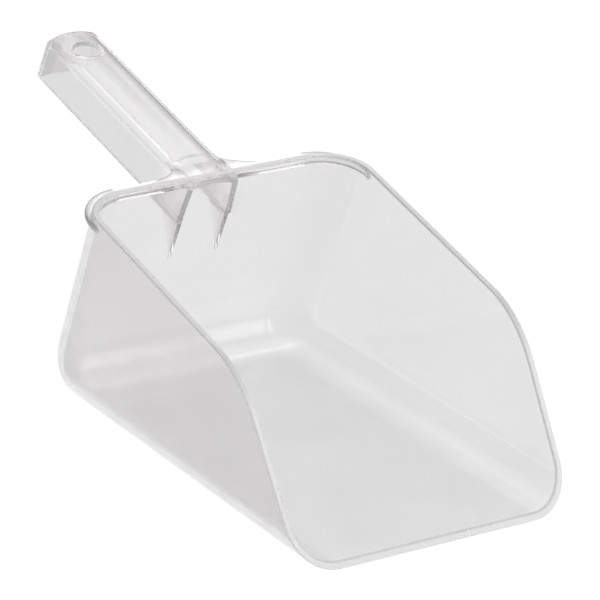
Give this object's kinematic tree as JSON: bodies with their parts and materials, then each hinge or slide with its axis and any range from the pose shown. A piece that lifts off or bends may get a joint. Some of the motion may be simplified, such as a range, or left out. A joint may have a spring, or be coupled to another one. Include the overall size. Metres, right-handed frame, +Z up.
{
  "type": "ice scoop",
  "caption": "Clear plastic ice scoop: flat-floored bowl with a sloping open mouth, rim shelf, gussets and an upswept channel handle with a hanging hole.",
  "frame": {"origin": "on the resting plane, at the middle of the bowl's flat underside, on the centre plane", "axes": "+Z up, +Y back along the handle, -Y out of the mouth, +X across to the scoop's left-hand side seen from behind the handle"},
  "size_m": [0.135, 0.324, 0.1288],
  "materials": {
    "clear_plastic": "smooth clear polycarbonate"
  },
  "bodies": {
    "root": {"floor": "clear_plastic", "left_side_wall": "clear_plastic", "right_side_wall": "clear_plastic", "back_wall": "clear_plastic", "left_back_corner": "clear_plastic", "right_back_corner": "clear_plastic", "left_rim_shelf": "clear_plastic", "right_rim_shelf": "clear_plastic", "handle_root": "clear_plastic", "handle_top": "clear_plastic", "handle_left_side": "clear_plastic", "handle_right_side": "clear_plastic", "handle_end_wall": "clear_plastic", "left_gusset": "clear_plastic", "right_gusset": "clear_plastic"}
  },
  "joints": []
}
